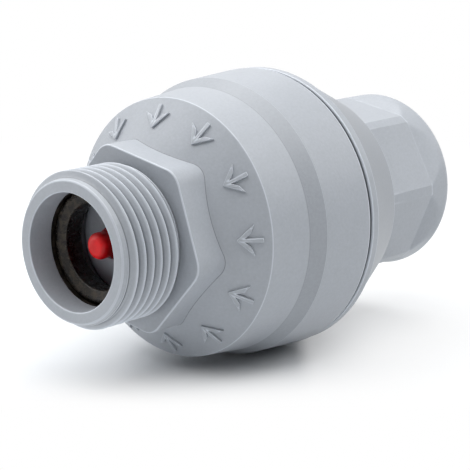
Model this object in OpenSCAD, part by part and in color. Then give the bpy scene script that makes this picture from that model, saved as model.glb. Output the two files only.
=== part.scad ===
// In-line shut-off valve: threaded inlet socket, round housing in two mouldings, threaded outlet
// The axis runs along X from the inlet's end face, at zero, towards the outlet, and Z is up

/* [Pipe threads] */
// Crest diameter of the male pipe thread on the outlet
thread_d = 26.44; // [25.4:0.01:27.4]
// Radial room of the inlet socket over a male thread of the same size
thread_clear = 0.1; // [0.05:0.01:0.3]
// Length of the outlet's thread at its full diameter
thread_len = 10.2; // [8:0.1:14]
// Length of the tapered lead in front of the outlet's thread
lead_len = 1.8; // [1:0.1:2.4]
// Diameter of the lead at the mouth
lead_d = 23.9; // [21.4:0.1:24]
// Diameter of the neck between the thread and the hexagon
neck_d = 24.1; // [23.6:0.1:25]
// Length of the neck
neck_len = 1; // [0.6:0.1:2]
// Length of the threaded wall in the inlet socket
socket_len = 9.4; // [8:0.1:11]
// Radial depth of the relief behind the socket's thread
relief_depth = 0.4; // [0.2:0.05:0.8]

/* [Inlet body] */
// Diameter of the inlet hub over the lands between its flats
hub_d = 33.4; // [32.6:0.1:33.4]
// Diameter of the round rim at the inlet's end
rim_d = 33.6; // [33.5:0.1:36]
// Twice the distance of each of the hub's flats from the axis
hub_af = 30.8; // [30.6:0.1:32]
// Number of flats around the hub
hub_flats = 7; // [6:1:8]
// Turn of the first land from the side
hub_turn = 2.5; // [0:0.5:45]
// Distance of the flats' ends from the end face
rim_len = 6.2; // [4.6:0.1:9]
// Length of the ramps that rise from the flats to that rim
ramp_len = 2.3; // [1:0.1:2.4]
// Rounding of the rim's end edge
rim_round = 1.4; // [0.4:0.1:1.6]
// Length of the hub from the end face to the collar
hub_len = 21.8; // [19:0.1:26]
// Diameter of the collar at the root of the hub
collar_d = 38.6; // [37:0.1:42]
// Length of the shoulder from the collar to the flange
shoulder_len = 12.6; // [10:0.1:16]
// Step of the flange inside the barrel's diameter
flange_step = 0.1; // [0:0.05:0.4]
// Length of the flange
flange_len = 2.8; // [2:0.1:5]
// Rounding of the flange's rear edge
flange_round = 0.8; // [0.3:0.1:1.2]
// Turn of that rounding, from the flange towards the shoulder
flange_turn = 60; // [30:1:80]
// Diameter of the bore behind the socket
inlet_bore_d = 18; // [17:0.1:19.4]
// Length of that bore
inlet_bore_len = 3.5; // [3:0.1:5]
// Distance past the collar at which the funnel behind that bore reaches the chamber
funnel_past = 3.2; // [2:0.1:5]
// Diameter of the spigot that enters the outlet body
spigot_d = 42.5; // [42:0.1:43.2]
// Length of the spigot
spigot_len = 9; // [8:0.1:11]
// Wall of the spigot
spigot_wall = 3.75; // [3.2:0.05:4]

/* [Outlet body] */
// Open seam between the two bodies
seam_gap = 0.45; // [0.2:0.05:0.8]
// Diameter of the barrel at the seam
barrel_rear_d = 50.8; // [49:0.1:54]
// Diameter of the barrel at its front edge
barrel_front_d = 49.4; // [47.4:0.1:53]
// Length of the barrel
barrel_len = 10.9; // [9:0.1:14]
// Length of the bevel in front of the barrel
bevel_len = 3.1; // [2:0.1:5]
// Diameter of the band behind the dome, at the bevel
band_rear_d = 46.9; // [46:0.1:48.6]
// Length of the band
band_len = 8.5; // [7:0.1:11]
// Diameter of the band at the dome's edge
band_front_d = 45.1; // [44:0.1:46.8]
// Length of the dome from its edge to its top
dome_len = 5.8; // [5.2:0.1:7.4]
// Diameter of the dome's top, inside the hexagon
dome_top_d = 28; // [27:0.1:28.8]
// Crown of the dome over a straight cone
dome_crown = 0.15; // [0.05:0.05:0.6]
// Wall of the dome along the axis
dome_wall = 3.15; // [2.8:0.05:3.6]
// Width of the hexagon across flats
hex_af = 29; // [28.6:0.1:30]
// Diameter over the hexagon's rounded corners
hex_tip_d = 32.4; // [31.6:0.1:33]
// Turn of the hexagon's first corner from the side
hex_turn = 48.7; // [0:0.1:60]
// Length of the hexagon in front of the dome's top
hex_len = 5.05; // [4:0.05:7]
// Bore of the outlet's mouth
mouth_d = 19.64; // [19:0.02:20]
// Depth of the mouth to the seal
mouth_depth = 4.85; // [4:0.05:6]
// Bore of the passage behind the seal
passage_d = 20.2; // [20:0.05:20.6]
// Bore of the chamber in the outlet body
chamber_d = 40; // [39:0.1:40.6]

/* [Fits] */
// Radial room of pieces that are pushed together
push_clear = 0.05; // [0.03:0.01:0.1]
// Gap left between faces that seat on each other through a soft ring
seat_clear = 0.05; // [0.02:0.01:0.1]
// Radial running room of the stem in its bush
bush_clear = 0.03; // [0.02:0.01:0.08]
// Radial running room of the damper's seal in its bore
ring_clear = 0.06; // [0.03:0.01:0.1]

/* [Seat and disc] */
// Outer diameter of the rubber seat ring
seal_d = 21.2; // [20.8:0.05:21.6]
// Bore of the seat ring
seal_bore_d = 14.6; // [13.6:0.1:15.6]
// Thickness of the seat ring
seal_t = 4.55; // [4:0.05:5]
// Depth of the chamfer at the ring's front edge
seal_chamfer = 0.95; // [0.5:0.05:1.4]
// Rounding of the ring's front edge along the mouth's wall
seal_round = 0.85; // [0.4:0.05:1]
// Diameter of the shut-off disc
disc_d = 18.2; // [17:0.1:18.6]
// Thickness of the shut-off disc
disc_t = 2.9; // [2.4:0.1:3.6]
// Distance of the open disc from the seat ring
disc_lift = 2; // [1.6:0.1:3]
// Room between the open disc and the bush behind it
disc_room = 2; // [1:0.1:3]
// Diameter of the reset pin
pin_d = 4.5; // [4:0.1:5.4]
// Length of the reset pin in front of the disc
pin_len = 6.1; // [5:0.1:7]
// Diameter of the reset pin's foot
pin_foot_d = 7; // [6:0.1:9]
// Length of the flare from the foot to the pin
pin_flare_len = 3.6; // [2:0.1:4]

/* [Stem and guide] */
// Diameter of the stem
stem_d = 4; // [3.6:0.1:4.6]
// Diameter of the stem's front end, inside the disc and the pin
stem_tip_d = 2.4; // [2:0.1:2.8]
// Diameter of the stem's rear end, inside the piston
stem_tail_d = 3; // [2.4:0.1:3.2]
// Diameter of the stem's collar
stem_collar_d = 6.4; // [5.6:0.1:7.4]
// Length of the stem's collar
stem_collar_len = 1.5; // [1:0.1:2]
// Wall of the guide bush
bush_wall = 0.9; // [0.7:0.05:1.2]
// Width of the bush's flange
bush_lip = 0.8; // [0.5:0.05:1.2]
// Thickness of the bush's flange
bush_lip_t = 0.6; // [0.4:0.05:1]
// Outer diameter of the guide spider
spider_d = 23; // [22.6:0.05:23.2]
// Length of the guide spider
spider_len = 3.2; // [2.6:0.1:4]
// Width of the spider's rim
spider_rim = 1.7; // [1.2:0.05:2]
// Diameter of the spider's hub
spider_hub_d = 12; // [11.6:0.1:13]
// Number of spider arms
spider_arms = 3; // [3:1:5]
// Width of a spider arm
spider_arm_w = 2.2; // [1.6:0.1:3]

/* [Spring and plate] */
// Mean diameter of the opening spring
spring_d = 10; // [9.8:0.1:10.6]
// Wire diameter of the spring
wire_d = 0.9; // [0.7:0.05:1]
// Turns of the spring
spring_turns = 3.5; // [3:0.5:4.5]
// Length of the spring with the valve open
spring_len = 8.3; // [7.4:0.1:9]
// Diameter of the sensing plate
plate_d = 33; // [30:0.1:34]
// Thickness of the sensing plate
plate_t = 1.6; // [1.2:0.1:2]
// Depth of the lip around the plate
plate_lip = 1.7; // [1:0.1:2]
// Diameter of the plate's hub
plate_hub_d = 8.2; // [7.6:0.1:8.4]
// Length of the hub in front of the plate
plate_nose = 1.2; // [0.8:0.1:1.6]
// Length of the hub behind the plate
plate_tail = 2.4; // [2:0.1:2.8]
// Diameter of the clip behind the plate
clip_d = 7.2; // [6.4:0.1:8]
// Thickness of the clip
clip_t = 0.8; // [0.6:0.05:1]
// Depth of the clip's groove in the stem
clip_groove = 0.45; // [0.3:0.05:0.6]
// Opening of the clip
clip_mouth = 2.2; // [1.6:0.1:2.8]

/* [Damper] */
// Bore of the damper cylinder
cyl_bore_d = 19; // [18:0.1:20]
// Wall of the damper cylinder
cyl_wall = 2; // [1.5:0.1:2.5]
// Depth of the damper cylinder
cyl_len = 17.2; // [16:0.1:18]
// Thickness of the cylinder's floor
cyl_floor = 2; // [1.6:0.1:3]
// Thickness of the clamped carrier ring and its arms
carrier_t = 2; // [1.6:0.1:3]
// Number of carrier arms
carrier_arms = 3; // [3:1:5]
// Width of a carrier arm
carrier_arm_w = 5; // [3:0.1:7]
// Diameter of the damper piston
piston_d = 18.2; // [17.4:0.1:18.4]
// Length of the damper piston
piston_len = 5; // [4.6:0.1:6]
// Room behind the open piston, for its nut
piston_room = 4; // [3.6:0.1:5]
// Width of the groove for the piston's ring
piston_groove = 1.7; // [1.6:0.05:2]
// Section of the piston's ring
piston_ring_d = 1.5; // [1.3:0.05:1.6]
// Depth of the recess in the piston's front
piston_recess = 2.6; // [1.5:0.1:3]
// Diameter of the piston's boss
piston_boss_d = 7; // [6:0.1:8]
// Width of the piston's nut across flats
nut_af = 5.5; // [5:0.1:6]
// Length of the piston's nut
nut_len = 2.4; // [2:0.1:3]
// Distance of the jet and the ball valve from the axis
port_offset = 5.2; // [5:0.1:5.6]
// Diameter of the metering jet
jet_d = 3.6; // [3:0.1:4]
// Diameter of the jet's head
jet_head_d = 5; // [4.6:0.1:5.6]
// Thickness of the jet's head
jet_head_t = 1; // [0.8:0.1:1.4]
// Bore of the metering jet
jet_bore_d = 0.8; // [0.5:0.1:1.2]
// Diameter of the return ball
ball_d = 4; // [3.6:0.1:4.2]
// Bore of the ball's seat
ball_seat_d = 2.6; // [2:0.1:3]
// Travel of the ball to its cage
ball_lift = 0.9; // [0.5:0.1:1.2]
// Gap between the ball and the faces that stop it
ball_gap = 0.15; // [0.1:0.01:0.2]
// Radial room around the ball
ball_room = 0.35; // [0.3:0.05:0.5]
// Wall of the ball's chamber
ball_wall = 1.2; // [1:0.1:1.4]
// Thickness of the ball's cage
cage_t = 0.9; // [0.7:0.1:1.2]
// Diameter of the holes in the cage
cage_hole_d = 1; // [0.8:0.05:1.1]

/* [Seals and strainer] */
// Section of the ring that seals the two bodies
body_ring_d = 1.95; // [1.7:0.05:2.05]
// Width of that ring's groove
body_groove = 2.6; // [2.4:0.1:3]
// Distance of that groove from the flange
body_groove_at = 3.5; // [3:0.1:4.4]
// Thickness of the inlet gasket
gasket_t = 1.8; // [1.4:0.1:2.4]
// Bore of the inlet gasket
gasket_bore_d = 19; // [18:0.1:20]
// Gap between the gasket and the end of the thread
gasket_gap = 0.1; // [0.05:0.05:0.3]
// Thickness of the strainer's flange
strainer_t = 1.2; // [1:0.1:1.6]
// Wall of the strainer's skirt
strainer_wall = 0.7; // [0.6:0.05:0.9]
// Depth of the strainer's skirt
strainer_depth = 2.7; // [2.2:0.1:2.9]
// Width of the lip that holds the strainer's plate
strainer_lip = 0.8; // [0.5:0.1:1]
// Thickness of that lip
strainer_lip_t = 0.8; // [0.5:0.1:1]
// Thickness of the strainer's perforated plate
mesh_t = 0.5; // [0.3:0.05:0.7]
// Diameter of a hole in the plate
mesh_hole_d = 1.3; // [0.9:0.05:1.4]
// Distance between the rings of holes
mesh_pitch = 1.8; // [1.7:0.05:1.9]
// Number of rings of holes
mesh_rings = 4; // [2:1:4]

/* [Hidden] */

// Smoothness of round pieces, points on an edge's rounding, and how far a cut passes its face
round_fn = 96;
edge_steps = 5;
dome_steps = 6;
cut = 1;
// Sides and rings per turn of the spring's wire
wire_sides = 6;
wire_rings = 8;

// Places along the axis, from the inlet to the outlet
x_gasket = socket_len + gasket_gap;
x_strainer = x_gasket + gasket_t;
x_floor = x_strainer + strainer_t;
x_funnel = x_floor + inlet_bore_len;
x_ramp = rim_len - ramp_len;
x_funnel_end = hub_len + funnel_past;
x_flange = hub_len + shoulder_len;
x_seam = x_flange + flange_len;
x_barrel = x_seam + seam_gap;
x_clamp = x_seam + spigot_len;
x_shoulder = x_clamp + carrier_t;
x_bevel = x_barrel + barrel_len;
x_band = x_bevel + bevel_len;
x_dome = x_band + band_len;
x_dome_top = x_dome + dome_len;
x_hex = x_dome_top + hex_len;
x_thread = x_hex + neck_len;
x_lead = x_thread + thread_len;
x_mouth = x_lead + lead_len;
x_seat = x_mouth - mouth_depth;
x_seal = x_seat - seal_t - 2 * seat_clear;
x_disc = x_seal - disc_lift;
x_disc_back = x_disc - disc_t;
x_spider = x_disc_back - disc_room - bush_lip_t;
x_spring_end = x_spider - spider_len;
x_plate = x_spring_end - spring_len;
x_collar = x_plate + plate_nose;
x_clip = x_plate - plate_t - plate_tail;
x_cyl_floor = x_shoulder - cyl_len;
x_cyl_back = x_cyl_floor - cyl_floor;
x_piston = x_cyl_floor + piston_room;
x_piston_front = x_piston + piston_len;
x_nut = x_piston - nut_len;
x_chamber_front = x_dome - dome_wall;

// Radii that several pieces share
socket_r = thread_d / 2 + thread_clear;
relief_r = socket_r + relief_depth;
flange_r = barrel_rear_d / 2 - flange_step;
spigot_r = spigot_d / 2;
chamber_in_r = spigot_r - spigot_wall;
chamber_out_r = chamber_d / 2;
joint_r = spigot_r + push_clear;
seal_seat_r = seal_d / 2 + push_clear;
spider_seat_r = spider_d / 2 + push_clear;
stem_r = stem_d / 2;
bush_bore_r = stem_r + bush_clear;
bush_r = bush_bore_r + bush_wall;
cyl_bore_r = cyl_bore_d / 2;
cyl_r = cyl_bore_r + cyl_wall;
body_ring_r = joint_r - seat_clear - body_ring_d / 2;
body_groove_r = body_ring_r - body_ring_d / 2 - seat_clear;
piston_ring_r = cyl_bore_r - ring_clear - piston_ring_d / 2;
piston_groove_r = piston_ring_r - piston_ring_d / 2 - seat_clear;
skirt_r = inlet_bore_d / 2 - push_clear;
mesh_seat_r = skirt_r - strainer_wall;
insert_r = relief_r - 2 * push_clear;
ball_r = ball_d / 2;
ball_chamber_r = ball_r + ball_room;
ball_seat_depth = sqrt(pow(ball_r, 2) - pow(ball_seat_d / 2, 2));
x_ball = x_cyl_back - ball_seat_depth - ball_gap;
x_cage = x_ball - ball_r - ball_lift - ball_gap;
cage_r = ball_chamber_r + ball_wall / 2;
tip_clear_r = stem_tip_d / 2 + push_clear;
tail_clear_r = stem_tail_d / 2 + push_clear;
x_pin_bore = x_disc + pin_len / 2;

// Points of a round edge, from one angle to another, as radius and place along the axis
function edge(r, x, round, from, to) =
    [for (i = [0:edge_steps]) let (a = from + (to - from) * i / edge_steps)
        [r + round * cos(a), x + round * sin(a)]];

// Points of the crowned dome, from its edge to its top
function dome_line() =
    let (r0 = band_front_d / 2, r1 = dome_top_d / 2, dr = r1 - r0, len = norm([dr, dome_len]))
    [for (i = [0:dome_steps]) let (s = i / dome_steps, lift = 4 * dome_crown * s * (1 - s))
        [r0 + dr * s + lift * dome_len / len, x_dome + dome_len * s - lift * dr / len]];

// Turns an outline of radius and place into a solid around the X axis
module turned(points) {
    rotate([0, 90, 0]) rotate_extrude($fn = round_fn) polygon(points);
}

// Round bar along X between two places
module bar(r, from, to) {
    translate([from, 0, 0]) rotate([0, 90, 0]) cylinder(h = to - from, r = r, $fn = round_fn);
}

// Bar of few sides along X, by its width across flats, with a corner at the given turn
module flatted(sides, af, turn, from, to, rise = 0) {
    round_off = cos(180 / sides);
    translate([from, 0, 0]) rotate([turn, 0, 0]) rotate([0, 90, 0]) rotate([0, 0, 90])
        cylinder(h = to - from, r1 = (af / 2 + rise) / round_off, r2 = af / 2 / round_off, $fn = sides);
}

// Puts its children around the axis, evenly
module around(count, turn = 0) {
    for (i = [0:count - 1]) rotate([turn + 360 * i / count, 0, 0]) children();
}

// Ring of round section around the axis
module o_ring(mid_r, section, x) {
    translate([x, 0, 0]) rotate([0, 90, 0]) rotate_extrude($fn = round_fn)
        translate([mid_r, 0]) circle(d = section, $fn = round_fn);
}

// Round rim at the inlet's end, with a rounded edge
module inlet_rim() {
    rim_r = rim_d / 2;
    turned(concat([[0, 0]], edge(rim_r - rim_round, rim_round, rim_round, -90, 0),
                  [[rim_r, x_ramp], [0, x_ramp]]));
}

// Flatted hub that runs from inside the rim into the shoulder
module inlet_hub() {
    from = (rim_round + x_ramp) / 2;
    to = hub_len + shoulder_len / 4;
    intersection() {
        union() {
            flatted(hub_flats, hub_af, hub_turn, from, to);
            flatted(hub_flats, hub_af, hub_turn, x_ramp, rim_len, (rim_d - hub_af) / 2);
        }
        bar(hub_d / 2, from, to);
    }
}

// Shoulder, flange and spigot with the groove of its ring
module inlet_shoulder() {
    x_groove = x_seam + body_groove_at;
    turned(concat(
        [[0, hub_len], [collar_d / 2, hub_len]],
        edge(flange_r - flange_round, x_flange + flange_round, flange_round, -flange_turn, 0),
        [[flange_r, x_seam], [spigot_r, x_seam],
         [spigot_r, x_groove], [body_groove_r, x_groove],
         [body_groove_r, x_groove + body_groove], [spigot_r, x_groove + body_groove],
         [spigot_r, x_clamp], [0, x_clamp]]));
}

module inlet_bore() {
    turned([[0, -cut], [socket_r, -cut], [socket_r, socket_len], [relief_r, socket_len],
            [relief_r, x_floor], [inlet_bore_d / 2, x_floor], [inlet_bore_d / 2, x_funnel],
            [chamber_in_r, x_funnel_end], [chamber_in_r, x_clamp + cut], [0, x_clamp + cut]]);
}

// Rear moulding: hub with flats around the threaded socket, shoulder, flange and spigot
module inlet_body() {
    color("slategray") difference() {
        union() {
            inlet_rim();
            inlet_hub();
            inlet_shoulder();
        }
        inlet_bore();
    }
}

module outlet_shape() {
    turned(concat(
        [[0, x_barrel], [barrel_rear_d / 2, x_barrel], [barrel_front_d / 2, x_bevel],
         [band_rear_d / 2, x_band]],
        dome_line(),
        [[neck_d / 2, x_dome_top], [neck_d / 2, x_thread], [thread_d / 2, x_thread],
         [thread_d / 2, x_lead], [lead_d / 2, x_mouth], [0, x_mouth]]));
}

module outlet_bore() {
    turned([[0, x_barrel - cut], [joint_r, x_barrel - cut], [joint_r, x_shoulder],
            [chamber_out_r, x_shoulder], [chamber_out_r, x_chamber_front],
            [spider_seat_r, x_spring_end], [spider_seat_r, x_spider],
            [passage_d / 2, x_spider], [passage_d / 2, x_seal], [seal_seat_r, x_seal],
            [seal_seat_r, x_seat], [mouth_d / 2, x_seat], [mouth_d / 2, x_mouth + cut],
            [0, x_mouth + cut]]);
}

// Front moulding: barrel, bevel, band, crowned dome, hexagon and threaded outlet
module outlet_body() {
    color("lightslategray") difference() {
        union() {
            outlet_shape();
            intersection() {
                flatted(6, hex_af, hex_turn, x_dome, x_hex);
                bar(hex_tip_d / 2, x_dome, x_hex);
            }
        }
        outlet_bore();
    }
}

module body_o_ring() {
    color("black") o_ring(body_ring_r, body_ring_d, x_seam + body_groove_at + body_groove / 2);
}

module inlet_gasket() {
    color("dimgray") difference() {
        bar(insert_r, x_gasket, x_strainer);
        bar(gasket_bore_d / 2, x_gasket - cut, x_strainer + cut);
    }
}

// Flanged ring that the gasket holds in the inlet, with a lip for the perforated plate
module strainer_rim() {
    x_end = x_floor + strainer_depth;
    color("gainsboro")
        turned([[mesh_seat_r, x_strainer], [insert_r, x_strainer], [insert_r, x_floor],
                [skirt_r, x_floor], [skirt_r, x_end], [mesh_seat_r - strainer_lip, x_end],
                [mesh_seat_r - strainer_lip, x_end - strainer_lip_t],
                [mesh_seat_r, x_end - strainer_lip_t]]);
}

// Perforated plate, with holes in rings around a middle hole
module strainer_mesh() {
    x_end = x_floor + strainer_depth - strainer_lip_t;
    color("silver") difference() {
        bar(mesh_seat_r - push_clear, x_end - mesh_t, x_end);
        bar(mesh_hole_d / 2, x_end - mesh_t - cut, x_end + cut);
        for (ring = [1:mesh_rings])
            around(6 * ring) translate([0, ring * mesh_pitch, 0])
                bar(mesh_hole_d / 2, x_end - mesh_t - cut, x_end + cut);
    }
}

// Rubber ring that the disc closes on, rounded along the mouth's wall and chamfered towards its bore
module seat_seal() {
    bore_r = seal_bore_d / 2;
    outer_r = seal_d / 2;
    lip_r = mouth_d / 2 - seat_clear;
    x_back = x_seal + seat_clear;
    x_front = x_seat - seat_clear;
    color("saddlebrown")
        turned(concat(
            [[bore_r, x_back], [outer_r, x_back], [outer_r, x_front], [lip_r, x_front]],
            edge(lip_r - seal_round, x_front - seal_round, seal_round, 0, 90),
            [[bore_r, x_front - seal_chamfer]]));
}

// Ring, hub and arms that carry the stem's bush
module guide_spider() {
    outer_r = spider_d / 2;
    hub_mid_r = spider_hub_d / 2;
    color("whitesmoke") difference() {
        union() {
            difference() {
                bar(outer_r, x_spring_end, x_spider);
                bar(outer_r - spider_rim, x_spring_end - cut, x_spider + cut);
            }
            bar(hub_mid_r, x_spring_end, x_spider);
            around(spider_arms)
                translate([x_spring_end, bush_r + push_clear, -spider_arm_w / 2])
                    cube([spider_len, outer_r - spider_rim / 2 - bush_r - push_clear, spider_arm_w]);
        }
        bar(bush_r + push_clear, x_spring_end - cut, x_spider + cut);
    }
}

module guide_bush() {
    color("ivory")
        turned([[bush_bore_r, x_spring_end], [bush_r, x_spring_end], [bush_r, x_spider],
                [bush_r + bush_lip, x_spider], [bush_r + bush_lip, x_spider + bush_lip_t],
                [bush_bore_r, x_spider + bush_lip_t]]);
}

// Centre of the spring's wire after a number of turns, and one ring of points around it
wire_r = wire_d / 2;
spring_from = x_plate + wire_r + seat_clear;
spring_pitch = (spring_len - wire_d - 2 * seat_clear) / spring_turns;
function wire_at(turn) =
    [spring_from + spring_pitch * turn, spring_d / 2 * cos(360 * turn), spring_d / 2 * sin(360 * turn)];
function wire_ring(turn) =
    let (out = [0, cos(360 * turn), sin(360 * turn)])
    [for (i = [0:wire_sides - 1]) let (a = 360 * i / wire_sides)
        wire_at(turn) + wire_r * (cos(a) * out + sin(a) * [1, 0, 0])];
wire_count = spring_turns * wire_rings;
wire_points = [for (k = [0:wire_count]) each wire_ring(k / wire_rings)];
wire_gap = min([for (k = [0:wire_count - wire_rings])
    norm(wire_at(k / wire_rings + 1) - wire_at(k / wire_rings))]) - wire_d;
echo(spring_gap = wire_gap);

// Faces of a tube of rings, closed at both ends
function tube_faces(rings, sides) = concat(
    [for (i = [1:sides - 2]) [0, i, i + 1]],
    [for (k = [0:rings - 2], i = [0:sides - 1], half = [0, 1])
        let (a = k * sides + i, b = k * sides + (i + 1) % sides, c = a + sides, d = b + sides)
        half == 0 ? [a, c, b] : [b, c, d]],
    [for (i = [1:sides - 2]) let (last = (rings - 1) * sides) [last, last + i + 1, last + i]]);

// Coil between the sensing plate and the guide, which holds the valve open
module opening_spring() {
    color("silver") polyhedron(wire_points, tube_faces(wire_count + 1, wire_sides));
}

// Cup for the piston, with the ring and arms that the two bodies clamp
module damper_cylinder() {
    ring_in_r = chamber_in_r + push_clear;
    color("gainsboro") difference() {
        union() {
            bar(cyl_r, x_cyl_back, x_shoulder);
            difference() {
                bar(spigot_r, x_clamp, x_shoulder);
                bar(ring_in_r, x_clamp - cut, x_shoulder + cut);
            }
            around(carrier_arms)
                translate([x_clamp, 0, -carrier_arm_w / 2])
                    cube([carrier_t, (ring_in_r + spigot_r) / 2, carrier_arm_w]);
            translate([0, 0, port_offset])
                bar(ball_chamber_r + ball_wall, x_cage - cage_t, x_cyl_back + cyl_floor / 2);
        }
        bar(cyl_bore_r, x_cyl_floor, x_shoulder + cut);
        translate([0, 0, port_offset]) {
            bar(ball_seat_d / 2, x_cyl_back - cut, x_cyl_floor + cut);
            bar(ball_chamber_r, x_cage, x_cyl_back);
            bar(cage_r + push_clear, x_cage - cage_t - cut, x_cage);
        }
        translate([0, 0, -port_offset])
            bar(jet_d / 2 + push_clear, x_cyl_back - cut, x_cyl_floor + cut);
    }
}

// Screw with a fine bore that lets water into the damper slowly
module metering_jet() {
    slot_w = jet_bore_d;
    slot_depth = jet_head_t / 2;
    color("goldenrod") translate([0, 0, -port_offset]) difference() {
        union() {
            bar(jet_d / 2, x_cyl_back - jet_head_t, x_cyl_floor);
            bar(jet_head_d / 2, x_cyl_back - jet_head_t, x_cyl_back);
        }
        bar(jet_bore_d / 2, x_cyl_back - jet_head_t - cut, x_cyl_floor + cut);
        translate([x_cyl_back - jet_head_t - cut, -jet_head_d, -slot_w / 2])
            cube([cut + slot_depth, 2 * jet_head_d, slot_w]);
    }
}

// Plate with holes that keeps the ball in its chamber
module ball_cage() {
    color("ivory") translate([0, 0, port_offset]) difference() {
        bar(cage_r, x_cage - cage_t, x_cage);
        around(4) translate([0, ball_chamber_r - cage_hole_d / 2, 0])
            bar(cage_hole_d / 2, x_cage - cage_t - cut, x_cage + cut);
    }
}

module return_ball() {
    color("lightgray") translate([x_ball, 0, port_offset]) sphere(r = ball_r, $fn = round_fn);
}

// Stem through the whole valve: tail for the piston, collar for the plate, tip for the disc
module valve_stem() {
    tail_r = stem_tail_d / 2;
    tip_r = stem_tip_d / 2;
    collar_r = stem_collar_d / 2;
    x_collar_end = x_collar + stem_collar_len;
    color("lightgray")
        turned([[0, x_nut], [tail_r, x_nut], [tail_r, x_piston_front], [stem_r, x_piston_front],
                [stem_r, x_clip - clip_t], [stem_r - clip_groove, x_clip - clip_t],
                [stem_r - clip_groove, x_clip], [stem_r, x_clip],
                [stem_r, x_collar], [collar_r, x_collar], [collar_r, x_collar_end],
                [stem_r, x_collar_end], [stem_r, x_disc_back], [tip_r, x_disc_back],
                [tip_r, x_pin_bore], [0, x_pin_bore]]);
}

// Disc that shuts the passage, with a rounded front edge and a boss behind
module shutoff_disc() {
    disc_r = disc_d / 2;
    edge_round = disc_t / 4;
    color("darkgray")
        turned(concat(
            [[tip_clear_r, x_disc_back], [disc_r - edge_round, x_disc_back], [disc_r, x_disc_back + edge_round]],
            edge(disc_r - edge_round, x_disc - edge_round, edge_round, 0, 90),
            [[tip_clear_r, x_disc]]));
}

// Pin with a flared foot and a round tip, pushed by hand to open the valve again
module reset_pin() {
    pin_r = pin_d / 2;
    x_tip = x_disc + pin_len;
    color("red")
        turned(concat(
            [[tip_clear_r, x_disc], [pin_foot_d / 2, x_disc], [pin_r, x_disc + pin_flare_len]],
            edge(0, x_tip - pin_r, pin_r, 0, 90),
            [[0, x_pin_bore + push_clear], [tip_clear_r, x_pin_bore + push_clear]]));
}

// Plate that the flow pushes, with a lip at its edge and a hub on the stem
module sensing_plate() {
    bore_r = stem_r + push_clear;
    hub_mid_r = plate_hub_d / 2;
    plate_r = plate_d / 2;
    x_back = x_plate - plate_t;
    color("gainsboro")
        turned([[bore_r, x_clip], [hub_mid_r, x_clip], [hub_mid_r, x_back],
                [plate_r - plate_t, x_back], [plate_r - plate_t, x_back - plate_lip],
                [plate_r, x_back - plate_lip], [plate_r, x_plate],
                [hub_mid_r, x_plate], [hub_mid_r, x_collar], [bore_r, x_collar]]);
}

// Open ring in the stem's groove that keeps the plate on the collar
module plate_clip() {
    color("dimgray") difference() {
        bar(clip_d / 2, x_clip - clip_t, x_clip);
        bar(stem_r - clip_groove + push_clear, x_clip - clip_t - cut, x_clip + cut);
        translate([x_clip - clip_t - cut, -clip_mouth / 2, 0])
            cube([clip_t + 2 * cut, clip_mouth, clip_d]);
    }
}

// Piston with a groove for its ring and a recess around the stem
module damper_piston() {
    x_groove = x_piston + (piston_len - piston_groove) / 2 - piston_groove / 2;
    piston_r = piston_d / 2;
    recess_r = piston_groove_r - piston_ring_d;
    color("whitesmoke")
        turned([[tail_clear_r, x_piston], [piston_r, x_piston], [piston_r, x_groove],
                [piston_groove_r, x_groove], [piston_groove_r, x_groove + piston_groove],
                [piston_r, x_groove + piston_groove], [piston_r, x_piston_front],
                [recess_r, x_piston_front], [recess_r, x_piston_front - piston_recess],
                [piston_boss_d / 2, x_piston_front - piston_recess],
                [piston_boss_d / 2, x_piston_front], [tail_clear_r, x_piston_front]]);
}

module piston_ring() {
    color("black") o_ring(piston_ring_r, piston_ring_d, x_piston + (piston_len - piston_groove) / 2);
}

module piston_nut() {
    color("goldenrod") difference() {
        flatted(6, nut_af, 0, x_nut, x_piston);
        bar(tail_clear_r, x_nut - cut, x_piston + cut);
    }
}

inlet_body();
outlet_body();
body_o_ring();
inlet_gasket();
strainer_rim();
strainer_mesh();
seat_seal();
guide_spider();
guide_bush();
opening_spring();
damper_cylinder();
metering_jet();
ball_cage();
return_ball();
valve_stem();
shutoff_disc();
reset_pin();
sensing_plate();
plate_clip();
damper_piston();
piston_ring();
piston_nut();
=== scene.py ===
"""Looks of an in-line shut-off valve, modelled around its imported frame.

Sizes are in millimetres. The valve's axis is X, from the inlet's end face at zero towards the
outlet, and Z is up. Meshes and lights are placed in metres, as the frame is.
"""

import logging
import math
from dataclasses import dataclass
from enum import Enum
from typing import Callable, Hashable, Sequence

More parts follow.
